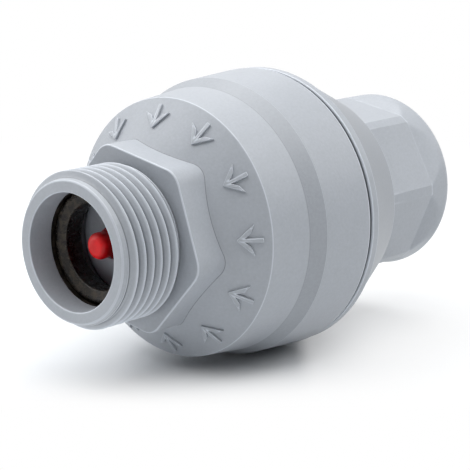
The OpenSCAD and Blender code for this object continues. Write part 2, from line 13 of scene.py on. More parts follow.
import bmesh
import bpy
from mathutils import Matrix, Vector


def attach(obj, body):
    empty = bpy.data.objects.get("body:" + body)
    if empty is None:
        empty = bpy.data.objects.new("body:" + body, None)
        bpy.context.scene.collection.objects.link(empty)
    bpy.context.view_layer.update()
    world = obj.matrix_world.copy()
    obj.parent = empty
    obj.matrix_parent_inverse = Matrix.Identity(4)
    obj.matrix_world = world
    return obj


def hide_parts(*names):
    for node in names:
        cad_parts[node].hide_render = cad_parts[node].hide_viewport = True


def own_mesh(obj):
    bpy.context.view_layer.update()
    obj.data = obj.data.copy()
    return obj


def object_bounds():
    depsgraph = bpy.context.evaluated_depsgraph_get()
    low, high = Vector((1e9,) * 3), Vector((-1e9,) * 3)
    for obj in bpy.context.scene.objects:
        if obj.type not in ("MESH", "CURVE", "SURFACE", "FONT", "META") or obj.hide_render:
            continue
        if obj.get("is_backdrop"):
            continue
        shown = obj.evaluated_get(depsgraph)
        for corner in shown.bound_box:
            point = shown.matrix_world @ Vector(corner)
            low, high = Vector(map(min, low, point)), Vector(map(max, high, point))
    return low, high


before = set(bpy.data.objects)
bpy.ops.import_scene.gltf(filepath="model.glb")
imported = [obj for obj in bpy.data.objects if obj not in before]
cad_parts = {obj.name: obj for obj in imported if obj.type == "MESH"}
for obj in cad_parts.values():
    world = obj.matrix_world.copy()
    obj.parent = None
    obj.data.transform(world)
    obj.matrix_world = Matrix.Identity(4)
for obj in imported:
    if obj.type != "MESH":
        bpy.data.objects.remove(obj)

MM = 0.001  # metres in a millimetre
MERGE = 2e-7  # metres within which two points are one
SMOOTH_ANGLE = math.radians(32)  # edges that bend more stay sharp
SUPPORT = 0.2  # millimetres between a rounding and the row that holds its shading
BEND_LIGHT_AND_SHADE = 0.2  # painted highlight on a convex edge and painted shade in a crease, for each radian of bend in a millimetre
NEAR = 0.01  # millimetres within which a point lies on a row
CLOSE = 0.1  # millimetres or degrees within which a point belongs to a face
EDGE_DROP = 0.3  # millimetres below an edge down to which its painted highlight reaches
REACH_SHARE = 0.48  # most of a line that a rounding takes
SUPPORT_SHARE = 0.26  # most of a line up to a support row, less half of the rounding

Pair = tuple[float, float]
Triple = tuple[float, float, float]
Point = Pair  # place along the axis and radius, in millimetres
Colour = Triple
Piece = bpy.types.Object
Setting = object  # what a node, socket or modifier takes

MIDDLE: Triple = (0.045, 0.0, 0.0)  # what the lamps shine at, in metres

log = logging.getLogger("valve")


class Slot(Enum):
    """Material slots of the record."""

    HOUSING = "housing_plastic"
    SEAL = "seal_rubber"
    RUBBER = "black_rubber"
    PIN = "pin_red"
    DISC = "disc_grey"
    WHITE = "white_plastic"
    STEEL = "stainless"
    BRASS = "brass"


class Body(Enum):
    """Bodies of the frame that pieces ride on."""

    HOUSING = "housing"
    VALVE = "valve"


class Paint(Enum):
    """Numbers that are painted on a mesh's points for its finish to read."""

    # painted light and shade: highlights above 0, shade below 0
    WEATHER = "weather"
    # the bevel, painted darker and grainier
    GRAIN = "grain"


# Shader values and node graphs


class Value:
    """One number in a material's graph; Python's operators add Math nodes."""

    def __init__(self, graph: "Graph", socket: bpy.types.NodeSocket) -> None:
        """Wraps a socket of a graph."""
        self.graph = graph
        self.socket = socket

    def _math(self, operation: str, first: Setting, second: Setting) -> "Value":
        """Adds a Math node for two numbers."""
        return self.graph.add("ShaderNodeMath", {"operation": operation}, {0: first, 1: second})

    def __add__(self, other: Setting) -> "Value":
        """Sum of two numbers."""
        return self._math("ADD", self, other)

    def __sub__(self, other: Setting) -> "Value":
        """Difference of two numbers."""
        return self._math("SUBTRACT", self, other)

    def __rsub__(self, other: Setting) -> "Value":
        """Difference from a plain number on the left."""
        return self._math("SUBTRACT", other, self)

    def __mul__(self, other: Setting) -> "Value":
        """Product of two numbers."""
        return self._math("MULTIPLY", self, other)

    __radd__ = __add__
    __rmul__ = __mul__


class Graph:
    """Node graph of one material, or of the surroundings."""

    def __init__(self, owner: bpy.types.Material | bpy.types.World) -> None:
        """Starts an empty graph.

        Args:
            owner: the material or world that it belongs to.
        """
        owner.use_nodes = True
        self.owner = owner
        self.tree = owner.node_tree
        self.tree.nodes.clear()

    @classmethod
    def of_material(cls, name: str) -> "Graph":
        """Graph of a new material of that name."""
        return cls(bpy.data.materials.new(name))

    def add(
        self,
        kind: str,
        settings: dict[str, Setting] | None = None,
        inputs: dict[str | int, Setting] | None = None,
        output: str | int = 0,
    ) -> Value:
        """Adds one node.

        Args:
            kind: the node's type.
            settings: attributes that are set before its sockets.
            inputs: numbers, colours or Values for its sockets, by name or place.
            output: the socket that is handed back.

        Returns:
            The chosen output, as a Value.
        """
        node = self.tree.nodes.new(kind)
        for key, setting in (settings or {}).items():
            setattr(node, key, setting)
        for key, given in (inputs or {}).items():
            if isinstance(given, Value):
                self.tree.links.new(given.socket, node.inputs[key])
            else:
                node.inputs[key].default_value = given
        return Value(self, node.outputs[output] if node.outputs else None)

    def place(self) -> Value:
        """Object coordinates of the surface."""
        return self.add("ShaderNodeTexCoord", output="Object")

    def measure(self, operation: str, other: Triple) -> Value:
        """A number from the surface's place and one vector, such as their distance."""
        sockets = {0: self.place(), 1: other}
        return self.add("ShaderNodeVectorMath", {"operation": operation}, sockets, "Value")

    def painted(self, paint: Paint) -> Value:
        """A number painted on the mesh, or 0 where there is none."""
        return self.add("ShaderNodeAttribute", {"attribute_name": paint.value}, output="Fac")

    def stretched(self, place: Value, scale: Triple) -> Value:
        """A place with its three coordinates scaled."""
        return self.add("ShaderNodeMapping", inputs={"Vector": place, "Scale": scale})

    def noise(self, place: Value, size: float, detail: float = 2.0, rough: float = 0.5) -> Value:
        """Soft noise with grains of about that size in metres, from 0 to 1."""
        sockets = {"Vector": place, "Scale": 1.0 / size, "Detail": detail, "Roughness": rough}
        return self.add("ShaderNodeTexNoise", inputs=sockets)

    def pebbles(self, place: Value, size: float) -> Value:
        """Rounded cells of about that size in metres, from their middles outwards."""
        sockets = {"Vector": place, "Scale": 1.0 / size, "Smoothness": 0.6}
        return self.add("ShaderNodeTexVoronoi", {"feature": "SMOOTH_F1"}, sockets)

    def step(self, value: Value, low: float, high: float) -> Value:
        """A smooth step from 0 to 1 between two levels of a value."""
        sockets = {"Value": value, "From Min": low, "From Max": high}
        return self.add("ShaderNodeMapRange", {"interpolation_type": "SMOOTHSTEP"}, sockets)

    def blend(self, share: Setting, first: Setting, second: Setting) -> Value:
        """Mixes two colours.

        Args:
            share: how much of the second is taken, from 0 to 1.
            first: a colour or a colour Value.
            second: a colour or a colour Value.

        Returns:
            The mixed colour.
        """
        colours = [c if isinstance(c, Value) else (*c, 1.0) for c in (first, second)]
        sockets = {0: share, 6: colours[0], 7: colours[1]}
        return self.add("ShaderNodeMix", {"data_type": "RGBA"}, sockets, 2)

    def bump(self, height: Value, depth: float) -> Value:
        """A surface normal from a height of 0 to 1, with that depth in metres."""
        return self.add("ShaderNodeBump", inputs={"Height": height, "Distance": depth})

    def surface(self, **sockets: Setting) -> bpy.types.Material:
        """Ends the graph in one principled surface.

        Args:
            sockets: the shader's sockets, by name with underscores for spaces.

        Returns:
            The finished material.
        """
        named = {key.replace("_", " "): given for key, given in sockets.items()}
        shader = self.add("ShaderNodeBsdfPrincipled", inputs=named)
        self.add("ShaderNodeOutputMaterial", inputs={"Surface": shader})
        return self.owner


# Finishes


@dataclass(frozen=True)
class MouldedPlastic:
    """Satin moulded plastic with a fine pebbled skin and a faint drift of tone."""

    name: str
    tone: Colour
    drift: float = 0.17
    roughness: float = 0.40
    grain: float = 0.00034
    relief: float = 0.000022
    drift_size: float = 0.011
    haze_size: float = 0.0022
    mix: Triple = (0.25, 0.25, 0.5)
    # painted highlight (lighter) and painted shade (darker): tones, shares and steps
    painted_highlight: float = 1.65
    painted_highlight_share: float = 0.7
    painted_highlight_step: Pair = (0.08, 0.8)
    painted_shade: float = 0.25
    painted_shade_share: float = 0.68
    painted_shade_step: Pair = (0.04, 0.95)
    # how much darker and grainier the bevel is painted
    coarse: float = 0.75
    coarse_share: Pair = (0.35, 0.3)
    coarse_step: Pair = (0.3, 0.7)
    gloss_drift: Triple = (-0.06, 0.08, 0.06)
    bumps: Triple = (0.6, 0.5, 1.2)

    def make(self) -> bpy.types.Material:
        """Builds the material.

        Returns:
            The finished material.
        """
        g = Graph.of_material(self.name)
        place = g.place()
        weather, coarse = g.painted(Paint.WEATHER), g.painted(Paint.GRAIN)
        broad = g.noise(place, self.drift_size, 3.0)
        haze = g.noise(place, self.haze_size, 4.0, 0.6)
        fine = g.noise(place, self.grain, 3.0, 0.55)
        speck = g.noise(place, self.grain * 1.4)
        cells = g.pebbles(place, self.grain * 1.6)
        share = broad * self.mix[0] + haze * self.mix[1] + speck * self.mix[2]
        tone = g.blend(share, self.shade(1 - self.drift), self.shade(1 + self.drift))
        # the bevel is painted darker and grainier
        least, more = self.coarse_share
        bevel_darkening = coarse * (least + more * g.step(speck, *self.coarse_step))
        tone = g.blend(bevel_darkening, tone, self.shade(self.coarse))
        # painted highlight on edges and lit places, then painted shade in creases and hollows
        painted_highlight = g.step(weather, *self.painted_highlight_step) * self.painted_highlight_share
        tone = g.blend(painted_highlight, tone, self.shade(self.painted_highlight))
        hidden = g.step(0 - weather, *self.painted_shade_step) * self.painted_shade_share
        tone = g.blend(hidden, tone, self.shade(self.painted_shade))
        base, hazy, grainy = self.gloss_drift
        rough = self.roughness + base + haze * hazy + fine * grainy
        height = fine * self.bumps[0] + cells * self.bumps[1] + coarse * speck * self.bumps[2]
        return g.surface(
            Base_Color=tone, Roughness=rough, Normal=g.bump(height, self.relief), IOR=1.5
        )

    def shade(self, share: float) -> Colour:
        """The tone made lighter or darker."""
        return tuple(c * share for c in self.tone)


@dataclass(frozen=True)
class Rubber:
    """Dull rubber with a mottled, slightly dusty skin."""

    name: str
    tone: Colour
    dust: Colour
    dust_share: float = 0.35
    roughness: float = 0.5
    mottle: float = 0.0011
    relief: float = 0.00007
    mix: Pair = (0.7, 0.3)
    dust_step: Pair = (0.44, 0.6)
    scuff: Colour = (0.15, 0.13, 0.105)
    scuff_share: float = 0.5
    scuff_step: Pair = (0.58, 0.74)
    polish_step: Pair = (0.06, 0.3)
    # colour, share and step of the painted shade in hollows and creases
    shade: Colour = (0.0015, 0.0012, 0.001)
    shade_share: float = 0.9
    shade_step: Pair = (0.05, 0.95)
    gloss_drift: Triple = (-0.14, 0.2, 0.08)
    polish: float = 0.15

    def make(self) -> bpy.types.Material:
        """Builds the material.

        Returns:
            The finished material.
        """
        g = Graph.of_material(self.name)
        place = g.place()
        mottle = g.noise(place, self.mottle, 5.0, 0.62)
        fine = g.noise(place, self.mottle / 6, 3.0, 0.6)
        weather = g.painted(Paint.WEATHER)
        dust = g.step(mottle * self.mix[0] + fine * self.mix[1], *self.dust_step)
        tone = g.blend(dust * self.dust_share, self.tone, self.dust)
        scuffs = g.step(g.noise(place, self.mottle / 3, 4.0, 0.7), *self.scuff_step)
        tone = g.blend(scuffs * self.scuff_share, tone, self.scuff)
        polished = g.step(weather, *self.polish_step)
        # painted shade, darker in hollows and creases
        hidden = g.step(0 - weather, *self.shade_step) * self.shade_share
        tone = g.blend(hidden, tone, self.shade)
        base, dusty, grainy = self.gloss_drift
        rough = self.roughness + base + dust * dusty + fine * grainy
        rough = rough - (hidden + polished) * self.polish
        normal = g.bump(mottle * 0.5 + fine * 0.5, self.relief)
        return g.surface(
            Base_Color=tone, Roughness=rough, Normal=normal, IOR=1.5, Specular_IOR_Level=0.35
        )


@dataclass(frozen=True)
class GlossyPlastic:
    """Bright polished plastic with a clear gloss and faint moulding waves."""

    name: str
    tone: Colour
    deep: Colour
    # painted highlight on the lit side and painted shade at the foot and the shaded side
    painted_highlight: Colour = (0.95, 0.085, 0.085)
    painted_highlight_share: float = 0.7
    painted_highlight_step: Pair = (0.05, 0.6)
    shade: float = 0.15
    shade_share: float = 0.8
    shade_step: Pair = (0.05, 0.95)
    roughness: float = 0.20
    gloss_drift: Pair = (-0.04, 0.1)
    wave: float = 0.0014
    wave_step: Pair = (0.3, 0.75)
    relief: float = 0.00003

    def make(self) -> bpy.types.Material:
        """Builds the material.

        Returns:
            The finished material.
        """
        g = Graph.of_material(self.name)
        place = g.place()
        wave = g.noise(place, self.wave, 2.0)
        fine = g.noise(place, self.wave / 7, 3.0, 0.6)
        tone = g.blend(g.step(wave, *self.wave_step), self.deep, self.tone)
        weather = g.painted(Paint.WEATHER)
        # painted highlight, then painted shade
        painted_highlight = g.step(weather, *self.painted_highlight_step) * self.painted_highlight_share
        tone = g.blend(painted_highlight, tone, self.painted_highlight)
        hidden = g.step(0 - weather, *self.shade_step) * self.shade_share
        tone = g.blend(hidden, tone, tuple(c * self.shade for c in self.deep))
        rough = self.roughness + self.gloss_drift[0] + fine * self.gloss_drift[1]
        normal = g.bump(wave * 0.8 + fine * 0.2, self.relief)
        return g.surface(
            Base_Color=tone, Roughness=rough, Normal=normal, IOR=1.45, Specular_IOR_Level=0.3
        )


@dataclass(frozen=True)
class TurnedMetal:
    """Metal with fine turning marks around the axis and a faint stain."""

    name: str
    tone: Colour
    stain: Colour
    roughness: float = 0.28
    gloss_drift: Triple = (-0.08, 0.14, 0.06)
    mark: float = 0.00022
    mark_stretch: Triple = (1.0, 0.12, 0.12)
    stain_size: float = 0.004
    stain_step: Pair = (0.45, 0.75)
    stain_share: float = 0.5
    relief: float = 0.000008

    def make(self) -> bpy.types.Material:
        """Builds the material.

        Returns:
            The finished material.
        """
        g = Graph.of_material(self.name)
        place = g.place()
        marks = g.noise(g.stretched(place, self.mark_stretch), self.mark, 2.0)
        stain = g.noise(place, self.stain_size, 4.0, 0.6)
        stained = g.step(stain, *self.stain_step) * self.stain_share
        tone = g.blend(stained, self.tone, self.stain)
        base, marked, dull = self.gloss_drift
        rough = self.roughness + base + marks * marked + stain * dull
        normal = g.bump(marks, self.relief)
        return g.surface(Base_Color=tone, Roughness=rough, Normal=normal, Metallic=1.0)


class Finishes:
    """The valve's materials, one for each slot of the record."""

    RECIPES = {
        Slot.HOUSING: MouldedPlastic("housing_plastic", (0.372, 0.396, 0.432)),
        Slot.SEAL: Rubber("seal_rubber", (0.010, 0.008, 0.0065), (0.070, 0.056, 0.040), 0.75, 0.45),
        Slot.RUBBER: Rubber("black_rubber", (0.016, 0.016, 0.017), (0.06, 0.06, 0.06)),
        Slot.PIN: GlossyPlastic("pin_red", (0.88, 0.007, 0.010), (0.74, 0.005, 0.008)),
        Slot.DISC: MouldedPlastic("disc_grey", (0.36, 0.385, 0.425), roughness=0.45),
        Slot.WHITE: MouldedPlastic("white_plastic", (0.74, 0.74, 0.71), 0.03, 0.38),
        Slot.STEEL: TurnedMetal("stainless", (0.62, 0.62, 0.61), (0.48, 0.47, 0.46)),
        Slot.BRASS: TurnedMetal("brass", (0.66, 0.48, 0.22), (0.42, 0.28, 0.12)),
    }

    def __init__(self) -> None:
        """Builds every material once."""
        self.made = {slot: recipe.make() for slot, recipe in self.RECIPES.items()}

    def dress(self, piece: Piece, slot: Slot) -> None:
        """Gives a piece the finish of a slot.

        Args:
            piece: the mesh object.
            slot: the record's slot.
        """
        piece.data.materials.clear()
        piece.data.materials.append(self.made[slot])


# Modelling steps that the pieces share


@dataclass(frozen=True)
class Corner:
    """A corner of an outline: place along the axis, radius and rounding, in millimetres."""

    x: float
    r: float
    rounding: float = 0.0
    steps: int = 5


def rounded(corners: Sequence[Corner]) -> list[Point]:
    """Points of a closed outline with its corners rounded.

    Args:
        corners: the outline's corners, in order.

    Returns:
        Places along the axis and radii, in millimetres.
    """
    points: list[Point] = []
    for i, corner in enumerate(corners):
        here = Vector((corner.x, corner.r))
        if corner.rounding <= 0:
            points.append((corner.x, corner.r))
            continue
        before, after = corners[i - 1], corners[(i + 1) % len(corners)]
        back = Vector((before.x, before.r)) - here
        ahead = Vector((after.x, after.r)) - here
        half = back.angle(ahead) / 2
        most = REACH_SHARE * min(back.length, ahead.length)
        reach = min(corner.rounding / math.tan(half), most)
        inward = (back.normalized() + ahead.normalized()).normalized()
        middle = here + inward * (reach * math.tan(half)) / math.sin(half)
        room = [min(SUPPORT, SUPPORT_SHARE * way.length - reach / 2) for way in (back, ahead)]
        points.append(tuple(here + back.normalized() * (reach + room[0])))
        start = here + back.normalized() * reach - middle
        turn = start.angle_signed(here + ahead.normalized() * reach - middle)
        for k in range(corner.steps + 1):
            spoke = start.copy()
            angle = -turn * k / corner.steps
            spoke.x = start.x * math.cos(angle) - start.y * math.sin(angle)
            spoke.y = start.x * math.sin(angle) + start.y * math.cos(angle)
            points.append(tuple(middle + spoke))
        points.append(tuple(here + ahead.normalized() * (reach + room[1])))
    return points


def evenly(start: float, end: float, count: int) -> list[float]:
    """Numbers from start to end in so many even steps."""
    return [start + (end - start) * i / count for i in range(count + 1)]


def smooth(low: float, high: float, value: float) -> float:
    """A smooth step from 0 at low to 1 at high."""
    t = min(max((value - low) / (high - low), 0.0), 1.0)
    return t * t * (3 - 2 * t)


def angle_of(place: Vector) -> float:
    """Angle around the axis in degrees, from +Y towards +Z."""
    return math.degrees(math.atan2(place.z, place.y))


def radius_of(place: Vector) -> float:
    """Distance from the axis in millimetres."""
    return math.hypot(place.y, place.z) / MM


def off_mark(place: Vector, first: float, count: int) -> float:
    """Angle of a point, in degrees, from the nearest of so many even marks around the axis."""
    sector = 360 / count
    return abs((angle_of(place) - first + sector / 2) % sector - sector / 2)


class Bench:
    """Modelling steps, each done with Blender's own operators."""

    @staticmethod
    def clear() -> None:
        """Leaves every mesh closed and nothing selected."""
        if bpy.context.mode != "OBJECT":
            bpy.ops.object.mode_set(mode="OBJECT")
        bpy.ops.object.select_all(action="DESELECT")

    @staticmethod
    def pick(piece: Piece) -> None:
        """Makes one piece the selected and active one.

        Args:
            piece: the object.
        """
        Bench.clear()
        piece.select_set(True)
        bpy.context.view_layer.objects.active = piece

    @staticmethod
    def take(name: str) -> Piece:
        """Names the piece that was just added and puts its place into its mesh.

        Args:
            name: the piece's name.

        Returns:
            The piece.
        """
        piece = bpy.context.object
        piece.name = piece.data.name = name
        bpy.ops.object.transform_apply()
        return piece

    @staticmethod
    def open(piece: Piece, kind: str, action: str = "DESELECT") -> bmesh.types.BMesh:
        """Opens a piece's mesh for editing.

        Args:
            piece: the mesh object.
            kind: what is selected: "VERT", "EDGE" or "FACE".
            action: "SELECT" for all of it or "DESELECT" for none.

        Returns:
            The open mesh.
        """
        Bench.pick(piece)
        bpy.ops.object.mode_set(mode="EDIT")
        bpy.ops.mesh.select_mode(type=kind)
        bpy.ops.mesh.select_all(action=action)
        return bmesh.from_edit_mesh(piece.data)

    @staticmethod
    def turn(name: str, outline: Sequence[Point], start: float = 0.0, steps: int = 144) -> Piece:
        """Draws a closed outline by extruding one point, and spins it around the axis.

        Args:
            name: the piece's name.
            outline: places along the axis and radii, in millimetres.
            start: angle of the first column, in degrees from +Y towards +Z.
            steps: columns around the axis.

        Returns:
            The turned piece, closed, with its faces outwards.
        """
        out = Vector((0.0, math.cos(math.radians(start)), math.sin(math.radians(start))))
        places = [(Vector((x, 0.0, 0.0)) + out * r) * MM for x, r in outline]
        Bench.clear()
        bpy.ops.mesh.primitive_plane_add(size=MM, location=places[0])
        piece = Bench.take(name)
        Bench.open(piece, "VERT", "SELECT")
        bpy.ops.mesh.merge(type="CENTER")
        for here, there in zip(places, [*places[1:], places[0]]):
            bpy.ops.mesh.extrude_vertices_move(TRANSFORM_OT_translate={"value": there - here})
        Bench.whole(bpy.ops.mesh.remove_doubles, threshold=MERGE)
        Bench.whole(
            bpy.ops.mesh.spin, steps=steps, angle=math.tau, center=(0, 0, 0), axis=(1, 0, 0)
        )
        Bench.close()
        return piece

    @staticmethod
    def whole(step: Callable[..., object], **settings: Setting) -> None:
        """Does one step on all of the open mesh."""
        bpy.ops.mesh.select_all(action="SELECT")
        step(**settings)

    @staticmethod
    def close() -> None:
        """Merges the open mesh's doubles, turns its faces outwards and leaves edit mode."""
        Bench.whole(bpy.ops.mesh.remove_doubles, threshold=MERGE)
        Bench.whole(bpy.ops.mesh.delete_loose)
        Bench.whole(bpy.ops.mesh.normals_make_consistent, inside=False)
        bpy.ops.object.mode_set(mode="OBJECT")

    @staticmethod
    def scale_groups(
        piece: Piece,
        group_of: Callable[[Vector], Hashable],
        scale_of: Callable[[Hashable], Triple],
        centre: Triple,
    ) -> None:
        """Scales groups of points about one centre.

        Args:
            piece: the mesh object.
            group_of: the group of a point, or None to leave it alone.
            scale_of: the scale of a group along X, Y and Z.
            centre: the centre in metres.
        """
        mesh = Bench.open(piece, "VERT")
        groups: dict[Hashable, list[bmesh.types.BMVert]] = {}
        for vert in mesh.verts:
            group = group_of(vert.co)
            if group is not None:
                groups.setdefault(group, []).append(vert)
        for group, verts in groups.items():
            bpy.ops.mesh.select_all(action="DESELECT")
            for vert in verts:
                vert.select = True
            mesh.select_flush(True)
            bpy.ops.transform.resize(value=scale_of(group), center_override=centre)
        bpy.ops.object.mode_set(mode="OBJECT")

    @staticmethod
    def modifier(piece: Piece, kind: str, **settings: Setting) -> None:
        """Adds a modifier and applies it.

        Args:
            piece: the mesh object.
            kind: the modifier's type.
            settings: its settings.
        """
        Bench.pick(piece)
        bpy.ops.object.modifier_add(type=kind)
        added = piece.modifiers[-1]
        for key, setting in settings.items():
            setattr(added, key, setting)
        bpy.ops.object.modifier_apply(modifier=added.name)

    @staticmethod
    def press(piece: Piece, height_of: Callable[[Vector], float], reach: float) -> None:
        """Raises or sinks a skin by a painted height.

        Args:
            piece: the mesh object.
            height_of: share of the reach at a point, from 0 to 1.
            reach: height in millimetres along the skin's normal; below zero it sinks.
        """
        paint = piece.vertex_groups.new(name="press")
        for vert in piece.data.vertices:
            share = height_of(vert.co)
            if share > 0:
                paint.add([vert.index], share, "REPLACE")
        Bench.modifier(
            piece, "DISPLACE", strength=reach * MM, mid_level=0.0, direction="NORMAL",
            vertex_group=paint.name,
        )
        piece.vertex_groups.clear()

    @staticmethod
    def paint(piece: Piece, paint: Paint, values: Sequence[float]) -> None:
        """Keeps one number for each point of a mesh.

        Args:
            piece: the mesh object.
            paint: what the numbers are.
            values: the numbers, in the order of the mesh's points.
        """
        kept = piece.data.attributes.new(paint.value, "FLOAT", "POINT")
        kept.data.foreach_set("value", values)

    @staticmethod
    def weather(piece: Piece, depth_of: Callable[[Vector], float]) -> None:
        """Paints light and shade: a highlight on convex edges, above 0, and shade in creases and
        hidden places, below 0.

        Args:
            piece: the mesh object.
            depth_of: painted shade at a point, from 0 to 1, or below 0 for painted light.
        """
        mesh = bmesh.new()
        mesh.from_mesh(piece.data)
        mesh.normal_update()
        values = []
        middles = {face: face.calc_center_median() for face in mesh.faces}
        bends = {}
        for edge in mesh.edges:
            near, far = edge.link_faces
            reach = (middles[near] - middles[far]).length / MM
            bends[edge] = edge.calc_face_angle_signed() / reach
        for vert in mesh.verts:
            bend = max((bends[edge] for edge in vert.link_edges), key=abs)
            values.append(min(max(BEND_LIGHT_AND_SHADE * bend - depth_of(vert.co), -1.0), 1.0))
        mesh.free()
        Bench.paint(piece, Paint.WEATHER, values)

    @staticmethod
    def pick_edges(piece: Piece, wanted: Callable[[bmesh.types.BMEdge], bool]) -> None:
        """Selects some edges of a piece and leaves its mesh open.

        Args:
            piece: the mesh object.
            wanted: whether an edge is one of them.
        """
        for edge in Bench.open(piece, "EDGE").edges:
            if wanted(edge):
                edge.select_set(True)

    @staticmethod
    def crisp(piece: Piece, wanted: Callable[[Vector], bool]) -> None:
        """Marks edges as sharp.

        Args:
            piece: the mesh object.
            wanted: whether a point is on a sharp edge; both ends of an edge have to be.
        """
        Bench.pick_edges(piece, lambda edge: all(wanted(vert.co) for vert in edge.verts))
        bpy.ops.mesh.mark_sharp()
        bpy.ops.object.mode_set(mode="OBJECT")

    @staticmethod
    def soften(piece: Piece) -> None:
        """Shades a piece smooth, apart from its sharp edges."""
        Bench.pick(piece)
        bpy.ops.object.shade_smooth_by_angle(angle=SMOOTH_ANGLE)


@dataclass(frozen=True)
class Assembly:
    """What every sub-assembly of the valve has: its finishes and how a piece joins the frame."""

    finishes: Finishes

    def settle(
        self,
        piece: Piece,
        body: Body,
        slot: Slot,
        *nodes: str,
        depth_of: Callable[[Vector], float] = lambda place: 0.0,
    ) -> Piece:
        """Finishes a piece: smooth shade, painted light and shade, material, body and the nodes it
        stands for.

        Args:
            piece: the mesh object.
            body: the body that it rides on.
            slot: the record's slot for its finish.
            nodes: CAD nodes that it replaces.
            depth_of: painted shade at a point of it, from 0 to 1, or below 0 for painted light.

        Returns:
            The piece.
        """
        Bench.soften(piece)
        Bench.weather(piece, depth_of)
        self.finishes.dress(piece, slot)
        if nodes:
            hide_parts(*nodes)
        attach(piece, body.value)
        log.info("%s: %d faces on %s", piece.name, len(piece.data.polygons), body.value)
        return piece


@dataclass(frozen=True)
class PipeThread:
    """Rounded pipe thread on a plain wall, with a run-out at both ends, in millimetres."""

    wall_r: float
    depth: float
    start: float  # the ridge rises from here
    full: float  # up to here
    fade: float  # and falls from here
    end: float  # to its end
    crest_at: float  # a crest at angle zero
    pitch: float = 1.814
    rounding: float = 0.13
    stations: int = 28
    near_wall: float = 0.05

    def rows(self) -> list[Corner]:
        """Close rows of an outline that carry the thread, from its end to its start."""
        count = round((self.end - self.start) / self.pitch * self.stations)
        return [Corner(x, self.wall_r) for x in evenly(self.end, self.start, count)]

    def ridge(self, place: Vector) -> float:
        """Height of the ridge at a point, from 0 at the root to 1 at the crest.

        Args:
            place: the point, in metres.

        Returns:
            The share of the thread's depth, or 0 away from its wall.
        """
        if abs(radius_of(place) - self.wall_r) > self.near_wall:
            return 0.0
        x, w = place.x / MM, self.rounding
        fade = smooth(self.start, self.full, x) * (1 - smooth(self.fade, self.end, x))
        phase = (x - self.crest_at) / self.pitch - angle_of(place) / 360
        t = abs(2 * (phase % 1.0) - 1)
        if t < w:
            height = t * t / (2 * w)
        elif t > 1 - w:
            height = 1 - w - (1 - t) ** 2 / (2 * w)
        else:
            height = t - w / 2
        return height / (1 - w) * fade


